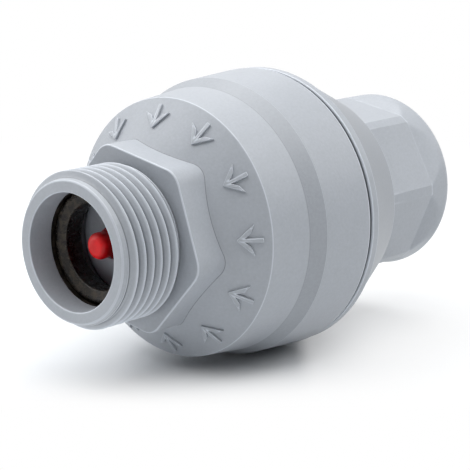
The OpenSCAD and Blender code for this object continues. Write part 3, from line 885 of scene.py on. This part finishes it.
@dataclass(frozen=True)
class OutletBody(Assembly):
    """Front moulding: barrel, bevel, band, dome, hexagon and threaded outlet."""

    thread: PipeThread = PipeThread(12.05, 1.15, 71.2, 71.9, 82.3, 83.1, crest_at=72.77)
    seam_x: float = 37.4
    joint_r: float = 21.3
    barrel_rear_r: float = 25.4
    barrel_end: float = 48.55
    barrel_front_r: float = 24.7
    bevel_end: float = 51.65
    band_rear_r: float = 23.45
    dome_x: float = 60.15
    dome_edge_r: float = 22.55
    dome_top_x: float = 65.95
    dome_top_r: float = 14.0
    hex_x: float = 71.0
    hex_af: float = 29.0
    hex_round: float = 3.5
    hex_turn: float = 48.7
    hex_sides: int = 6
    ring_r: float = 17.6
    lip_foot: float = 83.4
    lip_r: float = 12.0
    lip_round: float = 0.75
    mouth_x: float = 84.0
    mouth_r: float = 9.82
    seat_x: float = 79.15
    seat_r: float = 10.65
    seal_x: float = 74.5
    passage_r: float = 10.1
    spider_x: float = 67.0
    spider_r: float = 11.55
    cone_x: float = 63.8
    chamber_x: float = 57.0
    chamber_r: float = 20.0
    shoulder_x: float = 48.2
    # painted highlight on the seam's outer edge and on the thread's crests
    edge_band: float = 0.27
    edge_highlight: float = 0.5
    crest_highlight: float = 0.8
    columns: int = 192

    def hex_tip(self) -> float:
        """Radius of the hexagon at its rounded corners."""
        return self.hex_middle() + self.hex_round

    def hex_middle(self) -> float:
        """Distance from the axis of the middles of those roundings."""
        return (self.hex_af / 2 - self.hex_round) / math.cos(math.pi / self.hex_sides)

    def cone_at(self, r: float) -> float:
        """Place along the axis at which the dome has a radius."""
        slope = (self.dome_top_x - self.dome_x) / (self.dome_edge_r - self.dome_top_r)
        return self.dome_x + (self.dome_edge_r - r) * slope

    def outline(self) -> list[Point]:
        """Outline of the turned blank, with the hexagon still round.

        Returns:
            Places along the axis and radii, in millimetres.
        """
        tip = self.hex_tip()
        corners = [
            Corner(self.mouth_x, self.mouth_r, 0.18),
            Corner(self.mouth_x, self.lip_r - 0.15, self.lip_round, 8),
            Corner(self.lip_foot, self.lip_r, 0.1),
            *self.thread.rows(),
            Corner(self.hex_x, self.thread.wall_r, 0.1),
            Corner(self.hex_x, tip, 0.28, 6),
            Corner(self.cone_at(tip), tip, 0.14, 4),
            Corner(self.cone_at(self.ring_r), self.ring_r),
            Corner(self.dome_x, self.dome_edge_r, 0.3, 7),
            Corner(self.bevel_end, self.band_rear_r, 0.35, 4),
            Corner(self.barrel_end, self.barrel_front_r, 0.35, 4),
            Corner(self.seam_x, self.barrel_rear_r, 0.25),
            Corner(self.seam_x, self.joint_r, 0.15),
            Corner(self.shoulder_x, self.joint_r),
            Corner(self.shoulder_x, self.chamber_r),
            Corner(self.chamber_x, self.chamber_r, 0.6),
            Corner(self.cone_x, self.spider_r),
            Corner(self.spider_x, self.spider_r),
            Corner(self.spider_x, self.passage_r, 0.12),
            Corner(self.seal_x, self.passage_r, 0.12),
            Corner(self.seal_x, self.seat_r),
            Corner(self.seat_x, self.seat_r),
            Corner(self.seat_x, self.mouth_r, 0.15),
        ]
        return rounded(corners)

    def hex_radius(self, from_corner: float) -> float:
        """Radius of the rounded hexagon.

        Args:
            from_corner: angle from the nearest corner, in degrees.

        Returns:
            The radius in millimetres.
        """
        half = math.pi / self.hex_sides
        psi = math.radians(from_corner)
        middle, r = self.hex_middle(), self.hex_round
        if psi < math.atan2(r * math.sin(half), middle + r * math.cos(half)):
            side = middle * math.sin(psi)
            return middle * math.cos(psi) + math.sqrt(r**2 - side**2)
        return self.hex_af / 2 / math.cos(half - psi)

    def form_hexagon(self, piece: Piece) -> None:
        """Draws the columns of the round boss in to the hexagon's sides, along the dome.

        Args:
            piece: the turned blank.
        """
        tip = self.hex_tip()
        step = 360 / self.columns
        rear = (self.cone_at(self.ring_r) + self.cone_at(tip)) / 2
        inner = (tip + self.thread.wall_r) / 2
        length = self.hex_x - self.cone_at(tip)

        def column(place: Vector) -> int | None:
            """Column counted from the nearest corner, for points of the boss."""
            on_boss = place.x / MM >= rear and radius_of(place) >= inner
            return round(off_mark(place, self.hex_turn, self.hex_sides) / step) if on_boss else None

        def scale(group: int) -> Triple:
            """Scale that brings one column to the hexagon's side."""
            r = self.hex_radius(group * step)
            return (self.hex_x - self.cone_at(r)) / length, r / tip, r / tip

        Bench.scale_groups(piece, column, scale, (self.hex_x * MM, 0.0, 0.0))

    def depth(self, place: Vector) -> float:
        """Painted shade at a point, in the seam and deep in the thread, and painted highlight on
        the seam's edge and the thread's crests.

        Args:
            place: the point, in metres.

        Returns:
            The share of painted shade, from 0 to 1, or below 0 for a painted highlight.
        """
        x, r, thread = place.x / MM, radius_of(place), self.thread
        if x < self.seam_x + self.edge_band and r > self.barrel_rear_r - EDGE_DROP:
            return -self.edge_highlight
        if abs(x - self.seam_x) < NEAR:
            return 1.0
        if not thread.start < x < thread.fade or r < thread.wall_r - thread.near_wall:
            return 0.0
        below = 1 - (r - thread.wall_r) / thread.depth
        return min((1 + self.crest_highlight) * below - self.crest_highlight, 1.0)

    def on_bevel(self, place: Vector) -> bool:
        """Whether a point lies on the bevel between the barrel and the band."""
        along = self.barrel_end - CLOSE < place.x / MM < self.bevel_end + CLOSE
        return along and radius_of(place) > self.band_rear_r - CLOSE

    def above_dome(self, place: Vector) -> float:
        """Height of a point over the dome's cone.

        Args:
            place: the point, in metres.

        Returns:
            The height in millimetres.
        """
        edge = Vector((self.dome_x, self.dome_edge_r))
        rise = (Vector((self.dome_top_x, self.dome_top_r)) - edge).normalized()
        off = Vector((place.x / MM, radius_of(place))) - edge
        return off.y * rise.x - off.x * rise.y

    def build(self) -> Piece:
        """Turns the moulding, forms its hexagon and raises its thread.

        Returns:
            The finished piece.
        """
        piece = Bench.turn("outlet_moulding", self.outline(), self.hex_turn, self.columns)
        self.form_hexagon(piece)
        Bench.press(piece, self.thread.ridge, self.thread.depth)
        # marks the bevel, which is painted darker and grainier
        coarse = [float(self.on_bevel(vert.co)) for vert in piece.data.vertices]
        Bench.paint(piece, Paint.GRAIN, coarse)
        return self.settle(
            piece, Body.HOUSING, Slot.HOUSING, "outlet_body", depth_of=self.depth
        )


@dataclass(frozen=True)
class InletBody(Assembly):
    """Rear moulding: hub with flats around the threaded socket, shoulder, flange and spigot."""

    thread: PipeThread = PipeThread(13.32, 1.05, 0.7, 1.6, 8.4, 9.1, crest_at=0.6)
    socket_end: float = 9.4
    relief_r: float = 13.72
    floor_x: float = 12.5
    bore_r: float = 9.0
    funnel_x: float = 16.0
    funnel_end: float = 25.0
    chamber_r: float = 17.5
    rim_end: float = 6.2
    rim_round: float = 1.4
    hub_r: float = 16.8
    hub_sides: int = 7
    land_columns: int = 2
    hub_turn: float = 2.5
    hub_end: float = 21.8
    ramp_slope: float = 0.27
    ramp_blend: float = 0.25
    ramp_rows: int = 10
    flat_from: float = 1.0
    shallowest: float = 0.001
    collar_r: float = 19.3
    flange_x: float = 34.4
    flange_r: float = 25.3
    seam_x: float = 36.6
    spigot_r: float = 21.25
    spigot_end: float = 46.2
    groove_x: float = 40.7
    groove_end: float = 43.3
    groove_r: float = 19.25
    # painted highlights on the seam's edge, flats' rear border, collar and flange, painted light on
    # the rim and ramps, painted shade in the seam and on the shoulder
    edge_band: float = 0.28
    edge_highlight: float = 0.5
    flat_edge_highlight: float = 0.6
    rim_painted_light: float = 0.12
    collar_band: Pair = (0.42, 0.45)
    flange_band: Pair = (-0.1, 0.6)
    border_highlight: float = 0.7
    shoulder_shade: float = 0.4
    columns: int = 238

    def outline(self) -> list[Point]:
        """Outline of the turned blank, with the hub still round.

        Returns:
            Places along the axis and radii, in millimetres.
        """
        socket_r = self.thread.wall_r
        shoulder_r = self.flange_r - 0.45
        corners = [
            *self.thread.rows(),
            Corner(0.0, socket_r + 0.35, 0.25),
            Corner(0.0, self.hub_r, self.rim_round, 8),
            *[Corner(x, self.hub_r) for x in self.flat_rows()],
            Corner(self.hub_end, self.hub_r),
            Corner(self.hub_end, self.collar_r, 0.6, 6),
            Corner(self.flange_x, shoulder_r, 0.3),
            Corner(self.flange_x + 0.55, self.flange_r, 0.3),
            Corner(self.seam_x, self.flange_r, 0.25),
            Corner(self.seam_x, self.spigot_r),
            Corner(self.groove_x, self.spigot_r),
            Corner(self.groove_x, self.groove_r),
            Corner(self.groove_end, self.groove_r),
            Corner(self.groove_end, self.spigot_r),
            Corner(self.spigot_end, self.spigot_r, 0.3),
            Corner(self.spigot_end, self.chamber_r, 0.2),
            Corner(self.funnel_end, self.chamber_r, 0.8),
            Corner(self.funnel_x, self.bore_r, 0.6),
            Corner(self.floor_x, self.bore_r, 0.15),
            Corner(self.floor_x, self.relief_r),
            Corner(self.socket_end, self.relief_r),
            Corner(self.socket_end, socket_r, 0.15),
        ]
        return rounded(corners)

    def ramp(self) -> float:
        """Length of the ramp from a flat's middle up to the rim."""
        return (self.hub_r - self.flat_r()) / self.ramp_slope

    def flat_rows(self) -> list[float]:
        """Rows of the hub from which its flats are pressed.

        Returns:
            Their places along the axis, in millimetres.
        """
        start = max(self.rim_end - self.ramp(), 2.2 * self.rim_round)
        steps = evenly(start, self.rim_end, self.ramp_rows)
        middle = (self.rim_end + self.hub_end) / 2
        return [*steps, self.rim_end + SUPPORT, middle, self.hub_end - 2 * NEAR]

    def flat_r(self) -> float:
        """Distance of a flat from the axis, such that each land is whole columns wide."""
        half = 180 / self.hub_sides - self.land_columns * 360 / self.columns
        return self.hub_r * math.cos(math.radians(half))

    def off_land(self, place: Vector) -> float:
        """Angle of a point from the middle of the nearest land, in degrees."""
        return off_mark(place, self.hub_turn, self.hub_sides)

    def flat_depth(self, place: Vector) -> float:
        """Depth of the hub's flats at a point.

        Args:
            place: the point, in metres.

        Returns:
            The depth as a share of the deepest.
        """
        x = place.x / MM
        along = self.flat_from < x < self.hub_end - NEAR
        if not along or abs(radius_of(place) - self.hub_r) > NEAR:
            return 0.0
        turn = math.cos(math.radians(180 / self.hub_sides - self.off_land(place)))
        deepest = self.hub_r - self.flat_r() / turn
        depth = deepest - max(self.rim_end - x, 0.0) * self.ramp_slope / turn
        if min(depth, deepest) < self.shallowest:
            return 0.0
        depth *= depth / deepest * (deepest + self.ramp_blend) / (depth + self.ramp_blend)
        return depth / (self.hub_r - self.flat_r())

    def on_flat_edge(self, place: Vector) -> bool:
        """Tells the points on the borders of the hub's flats.

        Args:
            place: the point, in metres.

        Returns:
            Whether it lies on a border.
        """
        x, r = place.x / MM, radius_of(place)
        along = self.rim_end - NEAR < x < self.hub_end
        beside = abs(self.off_land(place) - self.land_columns * 360 / self.columns) < CLOSE
        on_hub = self.flat_r() - CLOSE < r <= self.hub_r + CLOSE / 2
        return along and on_hub and (x < self.rim_end + NEAR or beside)

    def hub_light_and_shade(self, place: Vector) -> float:
        """Painted shade at a point, in the seam and on the shoulder, and painted light on the
        seam's edge, the hub's rim and ramps, the flats' rear border, the collar and the flange.

        Args:
            place: the point, in metres.

        Returns:
            The share of painted shade, from 0 to 1, or below 0 for painted light.
        """
        x, r = place.x / MM, radius_of(place)
        if self.seam_x - self.edge_band < x < self.seam_x + NEAR:
            return -self.edge_highlight if r > self.flange_r - EDGE_DROP else 1.0
        if r < self.flat_r() - CLOSE:
            return 0.0
        if x < self.rim_end + NEAR:
            return -self.flat_edge_highlight if x > self.rim_end - NEAR else -self.rim_painted_light
        along, down = self.collar_band
        on_collar = x < self.hub_end + along and r > self.collar_r - down
        if on_collar or self.flange_band[0] < x - self.flange_x < self.flange_band[1]:
            return -self.border_highlight
        return self.shoulder_shade * (self.hub_end < x < self.flange_x and r > self.hub_r)

    def build(self) -> None:
        """Turns the moulding, presses its flats and raises the socket's thread."""
        piece = Bench.turn("inlet_moulding", self.outline(), self.hub_turn, self.columns)
        Bench.press(piece, self.flat_depth, self.flat_r() - self.hub_r)
        Bench.press(piece, self.thread.ridge, self.thread.depth)
        self.settle(piece, Body.HOUSING, Slot.HOUSING, "inlet_body", depth_of=self.hub_light_and_shade)
        Bench.crisp(piece, self.on_flat_edge)


@dataclass(frozen=True)
class FlowArrows(Assembly):
    """Raised flow arrows around the dome, which point towards the outlet."""

    dome: OutletBody
    count: int = 12
    middle_r: float = 19.25
    head_r: float = 2.0
    spread: float = 1.5
    tail: float = 2.5
    stroke: float = 0.55
    shaft_share: float = 0.62
    proud: float = 0.42
    sunk: float = 0.4
    edge: float = 0.15
    cuts: int = 8

    def flat(self) -> Piece:
        """One flat arrow of a shaft and two barbs, cut into strips along its length.

        Returns:
            The arrow as a sheet in the XY plane, pointing along X.
        """
        Bench.clear()
        bpy.ops.mesh.primitive_circle_add(vertices=3, radius=self.head_r * MM, fill_type="NGON")
        piece = Bench.take("flow_arrow_1")
        mesh = Bench.open(piece, "FACE", "SELECT")
        bpy.ops.transform.rotate(value=math.radians(90), orient_axis="Z", center_override=(0, 0, 0))
        if max(mesh.verts, key=lambda v: abs(v.co.x)).co.x < 0:
            bpy.ops.transform.rotate(value=math.pi, orient_axis="Z", center_override=(0, 0, 0))
        bpy.ops.mesh.inset(thickness=self.stroke * MM)
        bpy.ops.mesh.delete(type="FACE")
        mesh = bmesh.from_edit_mesh(piece.data)
        min(mesh.faces, key=lambda f: f.calc_center_median().x).select_set(True)
        bpy.ops.mesh.delete(type="FACE")
        Bench.whole(bpy.ops.transform.resize, value=(1, self.spread, 1), center_override=(0, 0, 0))
        half = self.stroke * self.shaft_share
        side = self.head_r * self.spread * math.sqrt(3) / 2
        steps = evenly(half, side, self.cuts)[:-1]
        for y in [-step for step in reversed(steps)] + steps:
            Bench.whole(bpy.ops.mesh.bisect, plane_co=(0, y * MM, 0), plane_no=(0, 1, 0))
        inner = self.head_r - 1.5 * self.stroke

        def on_shaft(edge: bmesh.types.BMEdge) -> bool:
            """Whether an edge lies where the shaft joins the barbs."""
            middle = (edge.verts[0].co + edge.verts[1].co) / 2
            return middle.x < inner * MM and abs(middle.y) < (half - NEAR) * MM

        Bench.pick_edges(piece, on_shaft)
        bpy.ops.mesh.extrude_region_move(
            TRANSFORM_OT_translate={"value": (-(self.tail + self.head_r) * MM, 0, 0)}
        )
        bpy.ops.transform.resize(value=(0, 1, 1), center_override=(-self.tail * MM, 0, 0))
        bpy.ops.object.mode_set(mode="OBJECT")
        return piece

    def build(self, moulding: Piece) -> None:
        """Lays one arrow on the dome, thickens it and copies it around the axis.

        Args:
            moulding: the front moulding that carries the arrows.
        """
        dome = self.dome
        fall = math.atan2(dome.dome_edge_r - dome.dome_top_r, dome.dome_top_x - dome.dome_x)
        first = self.flat()
        Bench.pick(first)
        first.rotation_euler = (0.0, fall, 0.0)
        first.location = (dome.cone_at(self.middle_r) * MM, 0.0, self.middle_r * MM)
        bpy.ops.object.transform_apply()
        Bench.modifier(
            first, "SHRINKWRAP", target=moulding, wrap_method="NEAREST_SURFACEPOINT",
            wrap_mode="ABOVE_SURFACE", offset=self.proud * MM,
        )
        Bench.modifier(first, "SOLIDIFY", thickness=(self.proud + self.sunk) * MM, offset=-1.0)
        Bench.modifier(
            first, "BEVEL", width=self.edge * MM, segments=3, limit_method="ANGLE",
            angle_limit=math.radians(40),
        )
        sector = 360 / self.count
        face = dome.hex_turn + sector / 2 - 90
        arrows = [first]
        for i in range(1, self.count):
            Bench.pick(first)
            bpy.ops.object.duplicate()
            arrows.append(bpy.context.object)
            arrows[i].name = arrows[i].data.name = f"flow_arrow_{i + 1}"
        for i, arrow in enumerate(arrows):
            Bench.pick(arrow)
            arrow.rotation_euler = (math.radians(face + sector * i), 0.0, 0.0)
            bpy.ops.object.transform_apply()
            # painted shade on each arrow below the dome's surface, darkening its walls towards the
            # dome
            self.settle(
                arrow, Body.HOUSING, Slot.HOUSING,
                depth_of=lambda place: float(dome.above_dome(place) < 0),
            )


@dataclass(frozen=True)
class Seals(Assembly):
    """Rubber ring in the mouth and flat gasket in the inlet."""

    ring_back: float = 74.55
    ring_front: float = 79.1
    ring_r: float = 10.6
    slit_x: float = 76.6
    slit_r: float = 9.8
    bead_r: float = 9.72
    bead_x: float = 79.05
    bead_round: float = 0.8
    # painted shade in the slit beside the bead and in the ring's bore
    slit_band: Pair = (-0.35, -0.02)
    slit_shade: float = 0.6
    bore_x: float = 78.15
    ring_bore_r: float = 7.3
    bore_band: Pair = (0.02, 0.3)
    gasket_from: float = 9.5
    gasket_to: float = 11.3
    gasket_r: float = 13.62
    gasket_bore_r: float = 9.5

    def depth(self, place: Vector) -> float:
        """Painted shade at a point of the ring, in its bore and in the slit beside its bead.

        Args:
            place: the point, in metres.

        Returns:
            The share, from 0 to 1.
        """
        r = radius_of(place)
        inside = 1 - smooth(*self.bore_band, r - self.ring_bore_r)
        beside = self.slit_shade * smooth(*self.slit_band, r - self.bead_r)
        return max(inside * (place.x / MM < self.bore_x), beside)

    def build(self) -> None:
        """Turns both rings."""
        ring = [
            Corner(self.ring_back, self.ring_bore_r, 0.25),
            Corner(self.ring_back, self.ring_r, 0.2),
            Corner(self.ring_front, self.ring_r, 0.2),
            Corner(self.ring_front, self.slit_r),
            Corner(self.slit_x, self.slit_r),
            Corner(self.slit_x, self.bead_r),
            Corner(self.bead_x, self.bead_r, self.bead_round, 10),
            Corner(self.bore_x, self.ring_bore_r, 0.3, 6),
        ]
        seal = Bench.turn("seat_ring", rounded(ring))
        self.settle(seal, Body.HOUSING, Slot.SEAL, "seat_seal", depth_of=self.depth)
        washer = [
            Corner(self.gasket_from, self.gasket_bore_r, 0.3),
            Corner(self.gasket_from, self.gasket_r, 0.35),
            Corner(self.gasket_to, self.gasket_r, 0.2),
            Corner(self.gasket_to, self.gasket_bore_r, 0.3),
        ]
        gasket = Bench.turn("inlet_washer", rounded(washer))
        self.settle(gasket, Body.HOUSING, Slot.RUBBER, "inlet_gasket")


@dataclass(frozen=True)
class ValveTrain(Assembly):
    """Shut-off disc, reset pin and opening spring."""

    disc_back: float = 69.6
    disc_front: float = 72.5
    disc_r: float = 9.1
    tip_r: float = 1.25
    pin_tip: float = 78.6
    pin_r: float = 2.25
    foot_r: float = 3.5
    flare: float = 3.6
    bore_end: float = 75.6
    # painted shade at the pin's foot and far side, and painted light on its lit side
    foot_band: Pair = (-4.5, -1.2)
    lit_side: Pair = (-0.8, 0.55)
    lit_band: Pair = (0.2, 1.9)
    lit_side_light: float = 0.6
    far_band: Pair = (0.3, 2.2)
    far_shade: float = 0.7
    # painted light on the disc's lower part
    disc_band: Pair = (-5.0, 1.0)
    disc_lower_light: float = 0.8
    coil_r: float = 5.0
    wire_r: float = 0.45
    coil_from: float = 55.55
    coil_to: float = 63.75
    turns: float = 3.5
    turn_steps: int = 40
    wire_sides: int = 14
    stroke: float = 1.9

    def build_disc(self) -> None:
        """Turns the disc, with a shallow sealing land at its edge."""
        corners = [
            Corner(self.disc_back, self.tip_r),
            Corner(self.disc_back, self.disc_r, 0.7, 6),
            Corner(self.disc_front, self.disc_r, 0.7, 8),
            Corner(self.disc_front, self.foot_r + 0.6, 0.3),
            Corner(self.disc_front - 0.12, self.foot_r + 0.3, 0.1),
            Corner(self.disc_front - 0.12, self.tip_r),
        ]
        disc = Bench.turn("stop_disc", rounded(corners))
        # the disc's lower part is painted lighter
        self.settle(
            disc, Body.VALVE, Slot.DISC, "shutoff_disc",
            depth_of=lambda place: self.disc_lower_light * (smooth(*self.disc_band, place.z / MM) - 1),
        )

    def build_pin(self) -> None:
        """Turns the pin, with a flared foot and a round tip."""
        tip = self.pin_tip
        corners = [
            Corner(self.disc_front - 0.1, self.tip_r),
            Corner(self.disc_front - 0.1, self.foot_r, 0.12),
            Corner(self.disc_front + 0.5, self.foot_r - 0.1, 0.6),
            Corner(self.disc_front + self.flare, self.pin_r, 2.4, 8),
            Corner(tip, self.pin_r, 1.7, 10),
            Corner(tip, 0.0),
            Corner(self.bore_end, 0.0),
            Corner(self.bore_end, self.tip_r),
        ]
        pin = Bench.turn("push_pin", rounded(corners), steps=96)
        self.settle(pin, Body.VALVE, Slot.PIN, "reset_pin", depth_of=self.pin_depth)

    def pin_depth(self, place: Vector) -> float:
        """Painted shade at a point of the pin, at its foot and on the side that lies in shade, and
        painted light on its lit side.

        Args:
            place: the point, in metres.

        Returns:
            The share, from 0 to 1, or below 0 on the lit side.
        """
        foot = 1 - smooth(*self.foot_band, place.x / MM - self.pin_tip)
        lit = (self.lit_side[0] * place.y + self.lit_side[1] * place.z) / MM
        far = self.far_shade * smooth(*self.far_band, -lit)
        return foot + far - self.lit_side_light * smooth(*self.lit_band, lit)

    def build_spring(self) -> None:
        """Sweeps a round wire along the coil with a screw, and closes its ends."""
        start = self.coil_from + self.wire_r
        pitch = (self.coil_to - self.coil_from - 2 * self.wire_r) / self.turns
        Bench.clear()
        bpy.ops.mesh.primitive_circle_add(
            vertices=self.wire_sides, radius=self.wire_r * MM,
            location=(start * MM, self.coil_r * MM, 0.0),
        )
        wire = Bench.take("coil_spring")
        steps = round(self.turn_steps * self.turns)
        Bench.modifier(
            wire, "SCREW", axis="X", angle=math.tau * self.turns, steps=steps, render_steps=steps,
            screw_offset=pitch * self.turns * MM, iterations=1, use_merge_vertices=False,
        )
        Bench.open(wire, "EDGE")
        bpy.ops.mesh.select_non_manifold()
        bpy.ops.mesh.edge_face_add()
        Bench.close()
        self.settle(wire, Body.HOUSING, Slot.STEEL, "opening_spring")
        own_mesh(wire)

    def build(self) -> None:
        """Builds the three pieces."""
        self.build_disc()
        self.build_pin()
        self.build_spring()


@dataclass(frozen=True)
class InnerPieces(Assembly):
    """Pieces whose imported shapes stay, each with its own finish."""

    KEPT = {
        Slot.RUBBER: ("body_o_ring", "piston_ring"),
        Slot.WHITE: (
            "strainer_rim", "guide_spider", "damper_cylinder", "sensing_plate", "damper_piston",
            "ball_cage",
        ),
        Slot.STEEL: ("strainer_mesh", "return_ball", "valve_stem", "plate_clip"),
        Slot.BRASS: ("guide_bush", "metering_jet", "piston_nut"),
    }

    def build(self) -> None:
        """Dresses each kept piece."""
        for slot, names in self.KEPT.items():
            for name in names:
                self.finishes.dress(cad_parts[name], slot)
                log.info("%s: kept, %s", name, slot.value)


@dataclass(frozen=True)
class Lamp:
    """A soft square lamp: its place and aim in metres, its side and its power."""

    name: str
    place: Triple
    side: float
    power: float
    aim: Triple = MIDDLE

    def build(self) -> None:
        """Hangs the lamp."""
        Bench.clear()
        bpy.ops.object.light_add(type="AREA", location=self.place)
        lamp = bpy.context.object
        lamp.name = self.name
        lamp.data.energy = self.power
        lamp.data.size = self.side
        aim = Vector(self.aim) - Vector(self.place)
        lamp.rotation_euler = aim.to_track_quat("-Z", "Y").to_euler()


@dataclass(frozen=True)
class Fade:
    """Where the floor is painted plain white over the object's shadow, along one level direction of
    the view.
    """

    aside: float  # shares of the view's sideways direction and
    toward: float  # of the one towards the camera
    start: float  # distance in metres at which white begins
    end: float  # and at which it is complete
    share: float = 1.0


@dataclass(frozen=True)
class Studio:
    """Pale floor, white surroundings, soft lamps and the camera."""

    floor_tone: Colour = (0.832, 0.85, 0.866)
    floor_side: float = 6.0
    fade_from: float = 0.09
    fade_to: float = 0.24
    # fades paint white over parts of the object's shadow: plain white in front, only lighter beside
    # it
    fades: tuple[Fade, ...] = (
        Fade(0.0, 1.0, 0.0415, 0.067),
        Fade(1.0, 0.0, -0.019, 0.0, 0.35),
        Fade(1.0, 0.0, -0.0185, -0.0145, 0.26),
        Fade(1.0, 0.8, 0.006, 0.03, 0.4),
    )
    haze_size: float = 0.15
    haze_share: float = 0.04
    haze_tone: Colour = (0.92, 0.92, 0.92)
    ambient: float = 0.08
    eye: Triple = (0.2547, 0.1842, 0.0609)
    look: Triple = (-0.7337, -0.6408, -0.2260)
    lens: float = 122.55
    sensor: float = 36.0
    nearest: float = 0.01
    lamps: tuple[Lamp, ...] = (
        Lamp("top_lamp", (0.045, 0.0, 0.62), 0.90, 6.6),
        Lamp("key_lamp", (0.25, -0.35, 0.45), 0.50, 1.6),
        Lamp("right_lamp", (-0.28, 0.38, 0.38), 0.45, 1.1),
        Lamp("rim_lamp", (-0.25, -0.40, 0.42), 0.50, 0.3),
        Lamp("low_lamp", (0.20, -0.60, 0.15), 0.45, 0.5),
        Lamp("face_lamp", (0.40, -0.35, 0.05), 0.08, 0.14),
    )

    @staticmethod
    def seen(g: Graph) -> Value:
        """Tells what the eye sees from what only lights the scene.

        Args:
            g: the graph that it is added to.

        Returns:
            1 for rays that the eye sees straight, in a gloss or through a clear piece, else 0.
        """
        rays = [
            g.add("ShaderNodeLightPath", output=name)
            for name in ("Is Camera Ray", "Is Glossy Ray", "Is Transmission Ray")
        ]
        either = g.add("ShaderNodeMath", {"operation": "MAXIMUM"}, {0: rays[0], 1: rays[1]})
        return g.add("ShaderNodeMath", {"operation": "MAXIMUM"}, {0: either, 1: rays[2]})

    def build_floor(self, height: float) -> None:
        """Lays the floor under the object.

        Args:
            height: the floor's height in metres.
        """
        Bench.clear()
        bpy.ops.mesh.primitive_grid_add(
            x_subdivisions=8, y_subdivisions=8, size=self.floor_side, location=(0, 0, height)
        )
        floor = Bench.take("floor")
        g = Graph.of_material("pale_floor")
        haze = g.noise(g.place(), self.haze_size, 2.0)
        tone = g.blend(haze * self.haze_share, self.floor_tone, self.haze_tone)
        matt = g.add("ShaderNodeBsdfDiffuse", inputs={"Color": tone})
        white = g.add("ShaderNodeEmission", inputs={"Strength": 1.0})
        reach = g.measure("DISTANCE", (*MIDDLE[:2], height))
        toward = -Vector(self.look[:2]).normalized()
        kept = 1 - g.step(reach, self.fade_from, self.fade_to)
        # the fades paint light over parts of the object's shadow
        for fade in self.fades:
            way = toward.orthogonal() * fade.aside + toward * fade.toward
            along = g.measure("DOT_PRODUCT", (*way, 0.0))
            kept = kept * (1 - g.step(along, fade.start, fade.end) * fade.share)
        both = g.add(
            "ShaderNodeMixShader", inputs={0: (1 - kept) * self.seen(g), 1: matt, 2: white}
        )
        g.add("ShaderNodeOutputMaterial", inputs={"Surface": both})
        floor.data.materials.append(g.owner)
        floor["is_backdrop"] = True

    def build_world(self) -> None:
        """Makes the surroundings: white to the eye and in reflections, dimmer as light."""
        g = Graph(bpy.data.worlds.new("surroundings"))
        strength = self.seen(g) * (1 - self.ambient) + self.ambient
        sky = g.add("ShaderNodeBackground", inputs={"Strength": strength})
        g.add("ShaderNodeOutputWorld", inputs={"Surface": sky})
        bpy.context.scene.world = g.owner

    def build_camera(self) -> None:
        """Places the camera at the photograph's angle."""
        Bench.clear()
        bpy.ops.object.camera_add(location=self.eye)
        camera = bpy.context.object
        camera.name = "view_camera"
        camera.rotation_euler = Vector(self.look).to_track_quat("-Z", "Y").to_euler()
        camera.data.lens = self.lens
        camera.data.sensor_width = self.sensor
        camera.data.clip_start = self.nearest
        bpy.context.scene.camera = camera

    def build(self, height: float) -> None:
        """Builds the whole studio.

        Args:
            height: the floor's height in metres.
        """
        bpy.context.scene.view_settings.view_transform = "Standard"
        self.build_floor(height)
        self.build_world()
        for lamp in self.lamps:
            lamp.build()
        self.build_camera()


def main() -> None:
    """Builds the valve's pieces in order, then the studio around them."""
    logging.basicConfig(level=logging.INFO, format="%(message)s")
    cad_box = [list(corner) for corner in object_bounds()]
    finishes = Finishes()
    outlet = OutletBody(finishes)
    moulding = outlet.build()
    FlowArrows(finishes, outlet).build(moulding)
    InletBody(finishes).build()
    Seals(finishes).build()
    ValveTrain(finishes).build()
    InnerPieces(finishes).build()
    Studio().build(cad_box[0][2])
    Bench.clear()


if __name__ == "__main__":
    main()
